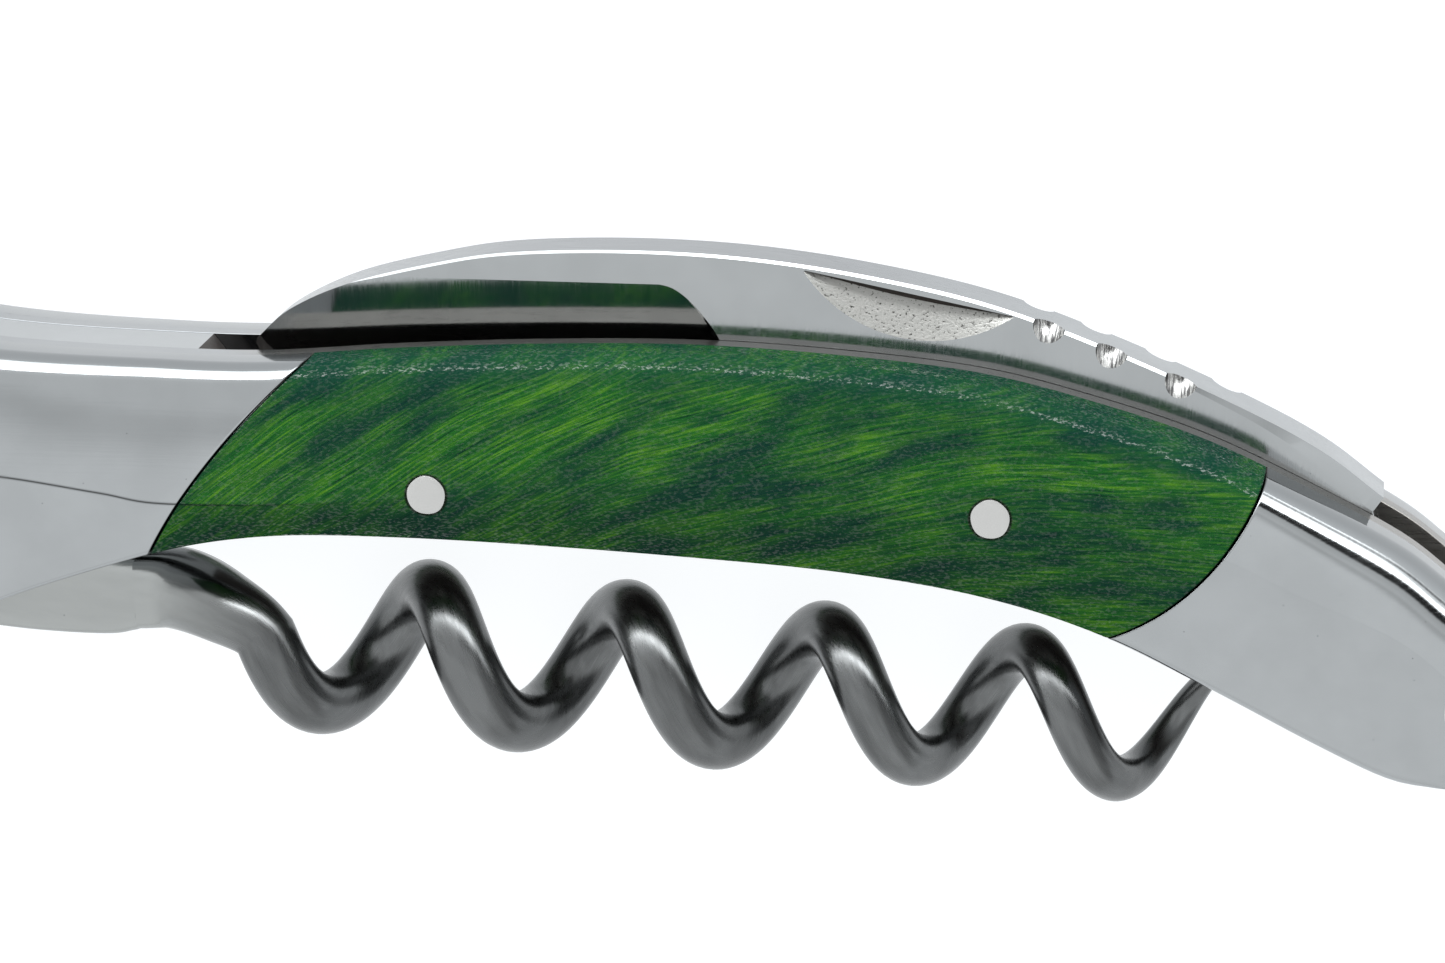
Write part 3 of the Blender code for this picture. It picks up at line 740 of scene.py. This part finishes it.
def nick_cutter():
    """A nail nick: deepest under its straight upper edge, running out along its lower arc."""
    upper_a, upper_b = Vector(NICK[0]), Vector(NICK[2])
    shares = np.linspace(*NICK_SHARES, NICK_STEPS + 1)
    clear = CORE_HALF + NICK_CLEARANCE
    columns = []
    for share, foot in zip(shares, at_shares(arc_through(*NICK), shares)):
        head = upper_a.lerp(upper_b, share)
        depth = NICK_DEPTH * (1 - (2 * share - 1) ** 2) ** NICK_FULLNESS
        near = head.lerp(Vector(foot), NICK_FOOT)
        out = head.lerp(Vector(foot), NICK_RUN_OUT[0])
        columns.append([(*head, CORE_HALF - NICK_RIM * depth), (*near, CORE_HALF - depth),
                        (*out, CORE_HALF + NICK_RUN_OUT[1] * depth), (*out, clear), (*head, clear)])
    cutter = stack("nick_cutter", columns)
    # steep walls get the near-black steel as painted shade under the nick's upper edge
    for face in cutter.data.polygons:
        steep = face.normal.y > 0.0 or face.normal.y < -STEEP
        face.material_index = DARK_FACE if steep else BLASTED_FACE
    return cutter


def notch_cutter(x, side):
    """A filed scoop in the corner between the blade's back and its side."""
    solid = bmesh.new()
    bmesh.ops.create_icosphere(solid, subdivisions=3, radius=1.0)
    slope = back_height(x + 0.5) - back_height(x - 0.5)
    turn = Matrix.Rotation(math.atan(slope), 4, "Z")
    size = Matrix.Diagonal((*NOTCH_SIZE, 1.0))
    lean = Matrix.Rotation(-side * NOTCH_LEAN, 4, "X")
    centre = Vector((x, back_height(x) + NOTCH_OUT, side * (CORE_HALF + NOTCH_OUT)))
    bmesh.ops.transform(solid, matrix=Matrix.Translation(centre) @ turn @ lean @ size, verts=solid.verts)
    for face in solid.faces:
        face.material_index = FILED_FACE
    return object_from(solid, f"notch_{x}_{side}")


def is_back(face):
    """Whether a face of the blade belongs to its back."""
    up, sideways = BACK_NORMAL
    near = abs(back_height(face.center.x) - face.center.y) < BACK_NEAR
    return face.normal.y > up and abs(face.normal.z) < sideways and near


def make_blade(looks):
    lower = smooth(BLADE_EDGE) + smooth(RICASSO)
    tang = arc(BLADE_PIVOT, TANG_RADIUS, *TANG_ARC, TANG_STEPS)
    outline = BACK_POINTS + lower + tang + smooth(TANG_BACK)
    blade = slab("foil_blade_look", outline, -CORE_HALF, CORE_HALF, chamfer_width, CHAMFER_DEPTH)
    cut(blade, grind_cutter(1), grind_cutter(-1))
    cut(blade, bevel_cutter(1), bevel_cutter(-1))
    cut(blade, nick_cutter(), eye_cutter(BLADE_PIVOT),
        *[notch_cutter(x, 1) for x in NOTCH_X], *[notch_cutter(x, -1) for x in FAR_NOTCH_X])
    # the back's end at the tip gets the near-black steel as a painted shadow
    dark_end_x = BLADE_BACK[-1][0] + TIP_DARK
    for face in blade.data.polygons:
        if face.material_index == 0 and is_back(face):
            face.material_index = BACK_FACE if face.center.x > dark_end_x else DARK_FACE
    finish(blade, "blade", looks, sharp_deg=12.0)


# ---- worm

def worm_point(turn):
    """The middle of the wire, some turns from the worm's start."""
    radius = WORM_RADII[0] + (WORM_RADII[1] - WORM_RADII[0]) * max(turn / WORM_TURNS[1], 0.0)
    along = Vector((math.cos(WORM_TILT), math.sin(WORM_TILT), 0.0))
    across = Vector((-math.sin(WORM_TILT), math.cos(WORM_TILT), 0.0))
    angle = math.tau * turn
    out = -math.cos(angle) * across - math.sin(angle) * THROUGH
    return WORM_START.to_3d() + along * WORM_PITCH * turn + out * radius


def wire_radius(turn):
    """The wire thins slowly along the coil and runs to a point over its last turns."""
    share = max(turn, 0.0) / WORM_TURNS[1]
    radius = WIRE_RADII[0] + (WIRE_RADII[1] - WIRE_RADII[0]) * share ** 2
    left = min((WORM_TURNS[1] - turn) / TIP_TURNS, 1.0)
    return TIP_RADIUS + (radius - TIP_RADIUS) * max(left, 0.0) ** TIP_POWER


def shank_section(left):
    """Half width, half thickness and squareness where this share of the shank is still to come."""
    wide = WIRE_RADII[0] + (SHANK_RADIUS - WIRE_RADII[0]) * (1.0 - (1.0 - left) ** 2)
    thick = wide + (CORE_HALF - wide) * left ** 3
    return wide, thick, ROUND + (SHANK_SQUARENESS - ROUND) * left ** 1.5


def oval(centre, wide, thick, squareness):
    """A ring round a centre: an ellipse at squareness 2, ever nearer a rectangle above it."""
    ring = []
    for i in range(WIRE_SIDES):
        angle = math.tau * i / WIRE_SIDES
        c, s = math.cos(angle), math.sin(angle)
        ring.append(centre + thick * math.copysign(abs(c) ** (2 / squareness), c)
                    + wide * math.copysign(abs(s) ** (2 / squareness), s))
    return ring


def tang_rings():
    """Nearly rectangular rings from the far side of the eye along the flat tang, and the tang's end."""
    shares = np.linspace(0.0, 1.0, WORM_TANG_STEPS)
    tops = arc(WORM_PIVOT, WORM_EYE_RADIUS, *WORM_EYE_TOP, WORM_EYE_STEPS)
    lows = arc(WORM_PIVOT, WORM_EYE_RADIUS, *WORM_EYE_LOW, WORM_EYE_STEPS)
    eye_count = len(tops)
    tops += [Vector(p) for p in at_shares(smooth(WORM_TANG_TOP), shares)]
    lows += [Vector(p) for p in at_shares(smooth(WORM_TANG_LOW), shares)]
    rings = []
    for k, (top, low) in enumerate(zip(tops, lows)):
        done = max(k - eye_count, 0) / (WORM_TANG_STEPS - 1)
        squareness = WORM_TANG_SQUARENESS + (SHANK_SQUARENESS - WORM_TANG_SQUARENESS) * done
        middle = ((low + top) / 2).to_3d()
        rings.append(oval(middle, ((low - top) / 2).to_3d(), THROUGH * CORE_HALF, squareness))
    return rings, middle


def wire_rings(first):
    """Rings from the end of the tang, round the shank's bend and along the coil to its point."""
    count = round((WORM_TURNS[1] - WORM_TURNS[0]) * TURN_STEPS)
    turns = [WORM_TURNS[0] + (WORM_TURNS[1] - WORM_TURNS[0]) * k / count for k in range(count + 1)]
    coil = [worm_point(turn) for turn in turns]
    shank = smooth([first, *SHANK, coil[0], coil[COIL_AIM]], SHANK_STEPS)[1:-SHANK_STEPS - 1]
    sections = [shank_section(1.0 - (k + 1) / len(shank)) for k in range(len(shank))]
    sections += [(wire_radius(turn), wire_radius(turn), ROUND) for turn in turns]
    points = shank + coil
    across = THROUGH
    rings = []
    for k, (point, (wide, thick, squareness)) in enumerate(zip(points, sections)):
        before = points[k - 1] if k else first
        along = (points[min(k + 1, len(points) - 1)] - before).normalized()
        across = (across - along * across.dot(along)).normalized()
        rings.append(oval(point, along.cross(across) * wide, across * thick, squareness))
    return rings


def add_grain(worm, rings):
    """Gives the worm coordinates that run along its wire, so that its marks follow it."""
    middles = array_of(sum(ring, Vector()) / WIRE_SIDES for ring in rings)
    reach = np.concatenate([[0.0], np.cumsum(np.linalg.norm(np.diff(middles, axis=0), axis=1))])
    grain = worm.data.attributes.new("grain", "FLOAT_VECTOR", "POINT")
    values = []
    for vertex in worm.data.vertices:
        place = np.array(vertex.co)
        k = int(((middles - place) ** 2).sum(axis=1).argmin())
        away = place - middles[k]
        along = middles[min(k + 1, len(middles) - 1)] - middles[max(k - 1, 0)]
        along /= np.linalg.norm(along)
        values += [reach[k] + away @ along, away[2], away @ np.cross(along, THROUGH)]
    grain.data.foreach_set("vector", values)


def make_worm(look):
    rings, tang_end = tang_rings()
    rings += wire_rings(tang_end)
    worm = stack("worm_look", rings)
    cut(worm, eye_cutter(WORM_PIVOT))
    add_grain(worm, rings)
    finish(worm, "worm", look, sharp_deg=35.0)


def make_lever(look):
    eye = arc(LEVER_PIVOT, LEVER_EYE_RADIUS, *LEVER_EYE_ARC, END_STEPS)
    outline = eye + smooth(LEVER_TOP) + [Vector(p) for p in FOOT_STEP] + smooth(FOOT_SOLE)
    outline += smooth(MOUTH) + smooth(LEVER_HEEL)
    lever = slab("lever_look", outline, -CORE_HALF, CORE_HALF, LEVER_BEVEL)
    cut(lever, eye_cutter(LEVER_PIVOT))
    finish(lever, "lever", look, sharp_deg=20.0)


# ---- node helpers

def plug(tree, node, values):
    """Fills a node's sockets with numbers or links them to other sockets."""
    for key, value in values.items():
        if isinstance(value, bpy.types.NodeSocket):
            tree.links.new(value, node.inputs[key])
        else:
            node.inputs[key].default_value = value


def add(tree, kind, values, **settings):
    """A node with its settings and its sockets filled."""
    made = tree.nodes.new(kind)
    for key, value in settings.items():
        setattr(made, key, value)
    plug(tree, made, values)
    return made


def blank(name):
    made = bpy.data.materials.new(name)
    made.use_nodes = True
    return made, made.node_tree, made.node_tree.nodes["Principled BSDF"]


def calculate(tree, operation, *values):
    return add(tree, "ShaderNodeMath", dict(enumerate(values)), operation=operation).outputs[0]


def remap(tree, value, low, high, new_low=0.0, new_high=1.0):
    return add(tree, "ShaderNodeMapRange", {"Value": value, "From Min": low, "From Max": high,
                                            "To Min": new_low, "To Max": new_high}).outputs["Result"]


def attribute(tree, name, output="Fac"):
    return add(tree, "ShaderNodeAttribute", {}, attribute_name=name).outputs[output]


def split(tree, where):
    """The X, Y and Z of a vector."""
    return add(tree, "ShaderNodeSeparateXYZ", {"Vector": where}).outputs[:3]


def in_mm(tree):
    """The object's own coordinates in millimetres."""
    where = add(tree, "ShaderNodeTexCoord", {}).outputs["Object"]
    return add(tree, "ShaderNodeVectorMath", {0: where, "Scale": 1 / MM}, operation="SCALE").outputs[0]


def grain_noise(tree, where, stretch, detail, roughness=0.55):
    """Noise in a stretched space given in millimetres; stretch is the length of a mark along each axis."""
    mapped = add(tree, "ShaderNodeMapping", {"Vector": where, "Scale": tuple(1.0 / s for s in stretch)})
    return add(tree, "ShaderNodeTexNoise", {"Vector": mapped.outputs[0], "Scale": 1.0, "Detail": detail,
                                            "Roughness": roughness}).outputs["Fac"]


def colour(tone, share=1.0):
    """A share of a tone, as a colour socket takes it."""
    return (*[c * share for c in tone], 1.0)


def mix_colour(tree, factor, first, second, blend="MIX"):
    return add(tree, "ShaderNodeMix", {0: factor, 6: first, 7: second},
               data_type="RGBA", blend_type=blend).outputs[2]


def add_bump(tree, shader, height, strength, depth, sockets=("Normal",)):
    """Makes a surface uneven, to a depth in millimetres."""
    bump = add(tree, "ShaderNodeBump", {"Height": height, "Strength": strength, "Distance": depth * MM})
    plug(tree, shader, dict.fromkeys(sockets, bump.outputs[0]))


# ---- materials

def steel(name, tone, rough, marks, mark_strength, clouds=(3.0, 3.0, 3.0), along_wire=False, change=None):
    """Polished steel with directional marks, faint clouds and a few pits.

    change = (start, end, tone, share of it in the clouds, extra roughness) makes it another steel past a
    place along its length.
    """
    made, tree, shader = blank(name)
    where = attribute(tree, "grain", "Vector") if along_wire else in_mm(tree)
    lines = grain_noise(tree, where, marks, 3.0)
    cloud = remap(tree, grain_noise(tree, where, clouds, 3.0), *CLOUD_SPREAD)
    pits = add(tree, "ShaderNodeTexVoronoi", {"Vector": where, "Scale": PITS_PER_MM}).outputs["Distance"]
    base = mix_colour(tree, cloud, colour(tone, CLOUD_TONE), colour(tone))
    base = mix_colour(tree, remap(tree, pits, *PIT_RIM, PIT_STRENGTH, 0.0), base, colour(tone, PIT_TONE))
    roughness = remap(tree, lines, *NOISE_SPREAD, *rough)
    if change:
        start, end, other, clouded, extra = change
        share = remap(tree, split(tree, where)[0], start, end)
        base = mix_colour(tree, share, base, mix_colour(tree, cloud, colour(other, clouded), colour(other)))
        roughness = calculate(tree, "MULTIPLY_ADD", share, extra, roughness)
    # painted shade on the steel next to the spine
    spine_shade = remap(tree, attribute(tree, "toward_spine"), *SPINE_EDGE)
    base = mix_colour(tree, spine_shade, base, colour(tone, SPINE_EDGE_TONE))
    # dark_line paints shade along the crease and the belly's edge, and grime at the joints
    base = mix_colour(tree, attribute(tree, "dark_line"), base, colour(tone, DARK_LINE_TONE))
    plug(tree, shader, {"Base Color": base, "Roughness": roughness, "Metallic": 1.0})
    add_bump(tree, shader, lines, mark_strength, MARK_DEPTH)
    return made


def polished_steel():
    return steel("polished_steel_look", tone=(0.33, 0.345, 0.352), rough=(0.06, 0.13),
                 marks=(4.0, 0.12, 4.0), mark_strength=0.06)


def liner_steel():
    return steel("liner_steel_look", tone=(0.255, 0.268, 0.278), rough=(0.06, 0.13),
                 marks=(4.0, 0.1, 0.1), mark_strength=0.1,
                 change=(-2.5, 0.5, (0.25, 0.24, 0.225), 0.9, 0.2))


def blade_steel():
    return steel("blade_steel_look", tone=(0.335, 0.35, 0.355), rough=(0.07, 0.16),
                 marks=(0.06, 2.5, 4.0), mark_strength=0.12)


def blade_back_steel():
    # satin back; its darker tone is painted shade, lighter again towards the heel
    return steel("blade_back_look", tone=(0.19, 0.202, 0.212), rough=(0.14, 0.24),
                 marks=(3.0, 0.1, 0.1), mark_strength=0.2,
                 change=(25.0, 38.0, (0.33, 0.345, 0.355), 0.9, 0.0))


def worm_steel():
    """Bright at the tang; along the wire duller, and darker as painted shade."""
    return steel("worm_steel_look", tone=(0.318, 0.33, 0.325), rough=(0.12, 0.2),
                 marks=(5.0, 0.12, 0.12), mark_strength=0.2, clouds=(3.5, 1.0, 1.0), along_wire=True,
                 change=(16.5, 23.0, (0.142, 0.147, 0.148), 0.65, 0.12))


def pin_steel():
    return steel("pin_steel_look", tone=(0.47, 0.47, 0.46), rough=(0.3, 0.42),
                 marks=(0.2, 0.2, 0.2), mark_strength=0.3)


def worked_steel(name, marks, detail, spread, tones, rough, metallic, noise_roughness=0.55, bump=None):
    """Steel as a tool left it: two tones mixed by one noise, which also sets its roughness and bumps."""
    made, tree, shader = blank(name)
    noise = grain_noise(tree, in_mm(tree), marks, detail, noise_roughness)
    dark, pale = tones
    base = mix_colour(tree, remap(tree, noise, *spread), colour(dark), colour(pale))
    roughness = remap(tree, noise, *NOISE_SPREAD, *rough)
    plug(tree, shader, {"Base Color": base, "Roughness": roughness, "Metallic": metallic})
    if bump:
        add_bump(tree, shader, noise, *bump)
    return made


def blasted_steel():
    """The nail nick's mottled, pitted floor."""
    return worked_steel("nick_look", marks=(0.15, 0.12, 0.15), detail=3.0, spread=(0.33, 0.41),
                        tones=((0.035, 0.033, 0.03), (0.325, 0.325, 0.31)), rough=(0.3, 0.55),
                        metallic=0.8, noise_roughness=0.6, bump=(0.5, 0.05))


def painted_shade_steel():
    """Rough near-black steel: painted shade in the spring's slot, the nail nick and at the blade's tip."""
    return worked_steel("dark_cut_look", marks=(0.4, 0.1, 0.1), detail=4.0, spread=(0.0, 1.0),
                        tones=((0.012, 0.010, 0.009), (0.06, 0.05, 0.045)), rough=(0.4, 0.6), metallic=0.6)


def filed_steel():
    """The streaked inside of a filed notch."""
    return worked_steel("filed_look", marks=(0.09, 1.2, 0.5), detail=3.0, spread=(0.42, 0.56),
                        tones=((0.10, 0.10, 0.10), (0.4, 0.4, 0.39)), rough=(0.15, 0.3), metallic=1.0,
                        bump=(0.6, 0.06))


def along_fibres(tree, where):
    """Coordinates that follow the fibres: steep at the front joint, level towards the butt."""
    x, y, z = split(tree, where)
    start = calculate(tree, "SUBTRACT", x, FIBRE_START_X)
    slope = calculate(tree, "MULTIPLY_ADD", start, -FIBRE_BEND, FIBRE_SLOPE)
    rise = calculate(tree, "MULTIPLY", start, slope)
    wave = grain_noise(tree, where, (12.0, 7.0, 12.0), 1.0)
    sway = remap(tree, wave, *NOISE_SPREAD, -FIBRE_SWAY, FIBRE_SWAY)
    level = calculate(tree, "ADD", calculate(tree, "SUBTRACT", y, rise), sway)
    return add(tree, "ShaderNodeCombineXYZ", {"X": start, "Y": level, "Z": z}).outputs[0]


def round_pins(tree, where):
    """1 on a thin line round each scale pin, 0 elsewhere."""
    x, y, _ = split(tree, where)
    plan = add(tree, "ShaderNodeCombineXYZ", {"X": x, "Y": y}).outputs[0]
    rings = []
    for name in ("front_scale_pin", "rear_scale_pin"):
        centre, radius = PINS[name]
        away = add(tree, "ShaderNodeVectorMath", {0: plan, 1: (*(centre + ORIGIN.xy), 0.0)},
                   operation="DISTANCE").outputs["Value"]
        rings.append(remap(tree, away, radius + PIN_SHADE[0], radius + PIN_SHADE[1], 1.0, 0.0))
    return calculate(tree, "MAXIMUM", *rings)


def dyed_scale():
    """Green-dyed, lacquered material whose fibres turn from slanting to level along the handle."""
    made, tree, shader = blank("dyed_scale_look")
    where = in_mm(tree)
    turned = along_fibres(tree, where)
    fibre = grain_noise(tree, turned, (2.2, 0.11, 0.5), 5.0, 0.6)
    fine = grain_noise(tree, turned, (0.9, 0.045, 0.3), 2.0)
    cloud = grain_noise(tree, turned, (6.0, 1.7, 5.0), 4.0)
    glow = calculate(tree, "MULTIPLY", remap(tree, fibre, 0.47, 0.72), remap(tree, cloud, 0.42, 0.66, 0.05))
    shade = colour(DEEP_GREEN)
    for amount, tone in ((remap(tree, cloud, 0.38, 0.62), MID_GREEN),
                         (glow, BRIGHT_FIBRE),
                         (remap(tree, fine, 0.50, 0.72, 0.0, 0.2), FINE_FIBRE),
                         (remap(tree, fibre, 0.44, 0.30, 0.0, 0.75), DARK_FIBRE),
                         # painted shade near the spine
                         (remap(tree, attribute(tree, "toward_spine"), 0.6, 0.85, 0.0, 0.55), SPINE_GREEN),
                         # painted shade along the crease and the belly's edge, and grime at the joints
                         (attribute(tree, "dark_line"), CREASE_GREEN),
                         (round_pins(tree, where), PIN_GREEN)):
        shade = mix_colour(tree, amount, shade, colour(tone))
    glints = grain_noise(tree, where, (0.2, 0.1, 0.1), 2.0)
    grit = grain_noise(tree, where, (0.3, 0.16, 0.2), 2.0)
    plug(tree, shader, {"Base Color": shade, "Roughness": remap(tree, fine, *NOISE_SPREAD, 0.4, 0.6),
                        "Specular IOR Level": 0.0, "Coat Weight": remap(tree, glints, 0.53, 0.6, 0.06),
                        "Coat Roughness": 0.03, "Coat IOR": 1.37})
    add_bump(tree, shader, grit, 0.5, 0.03, ("Normal", "Coat Normal"))
    return made


def pale_floor():
    made, tree, shader = blank("pale_floor")
    speck = grain_noise(tree, in_mm(tree), (40.0, 40.0, 40.0), 2.0)
    low, high = FLOOR_TONES
    plug(tree, shader, {"Base Color": mix_colour(tree, speck, colour(low), colour(high)), "Roughness": 0.9,
                        "Specular IOR Level": 0.1, "Emission Color": colour(FLOOR_GLOW),
                        "Emission Strength": FLOOR_GLOW_STRENGTH})
    return made


# ---- studio

def make_floor():
    solid = bmesh.new()
    solid.faces.new([solid.verts.new((x * FLOOR_HALF, y * FLOOR_HALF, -FLOOR_DROP * MM))
                     for x, y in ((-1, -1), (1, -1), (1, 1), (-1, 1))])
    floor = object_from(solid, "studio_floor")
    floor.data.materials.append(pale_floor())


def bands(tree, share, levels):
    """A ramp of greys from (degrees, brightness) pairs."""
    ramp = add(tree, "ShaderNodeValToRGB", {"Fac": share})
    while len(ramp.color_ramp.elements) < len(levels):
        ramp.color_ramp.elements.new(0.5)
    for element, (degrees, level) in zip(ramp.color_ramp.elements, levels):
        element.position = degrees / 360.0 + 0.5
        element.color = colour(WHITE, level)
    return ramp.outputs[0]


def make_surroundings():
    """Soft studio surroundings whose brightness changes round the handle's long axis."""
    world = bpy.data.worlds.new("studio")
    world.use_nodes = True
    bpy.context.scene.world = world
    tree = world.node_tree
    x, y, z = split(tree, add(tree, "ShaderNodeTexCoord", {}).outputs["Generated"])
    share = remap(tree, calculate(tree, "ARCTAN2", y, z), -math.pi, math.pi)
    streaks = mix_colour(tree, remap(tree, x, *STREAK_SIDE), colour(WHITE), bands(tree, share, BUTT_STREAKS))
    light = mix_colour(tree, 1.0, bands(tree, share, SURROUNDINGS), streaks, "MULTIPLY")
    light = mix_colour(tree, 1.0, light, colour(STUDIO_TINT), "MULTIPLY")
    start, end, level = BUTT_SIDE
    fall = remap(tree, x, start, end, 1.0, level)
    light = add(tree, "ShaderNodeVectorMath", {0: light, "Scale": fall}, operation="SCALE").outputs[0]
    plug(tree, tree.nodes["Background"], {"Color": light, "Strength": 1.0})


def make_camera():
    lens = bpy.data.cameras.new("camera")
    lens.lens = CAMERA_LENS
    lens.sensor_width = SENSOR_WIDTH
    lens.sensor_fit = "HORIZONTAL"
    lens.clip_start, lens.clip_end = CAMERA_CLIP
    camera = bpy.data.objects.new("camera", lens)
    bpy.context.scene.collection.objects.link(camera)
    turn = Matrix.Rotation(CAMERA_AZIMUTH, 4, "Y") @ Matrix.Rotation(-CAMERA_ELEVATION, 4, "X")
    away = Matrix.Translation(THROUGH * CAMERA_DISTANCE * MM)
    camera.matrix_world = Matrix.Translation(ORIGIN * MM) @ turn @ away
    bpy.context.scene.camera = camera


def main():
    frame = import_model()
    make_camera()
    polished = polished_steel()
    liner_look = liner_steel()
    blade_looks = [blade_steel(), blasted_steel(), painted_shade_steel(), filed_steel(), blade_back_steel()]
    worm_look = worm_steel()
    pin_look = pin_steel()
    make_handle(polished, liner_look, dyed_scale(), pin_look)
    make_blade(blade_looks)
    make_worm(worm_look)
    make_lever(polished)
    for name in BLIND_RIVETS:
        frame["nodes"][name].data.materials.clear()
        frame["nodes"][name].data.materials.append(pin_look)
    make_floor()
    make_surroundings()
    bpy.context.scene.view_settings.view_transform = "Standard"


main()
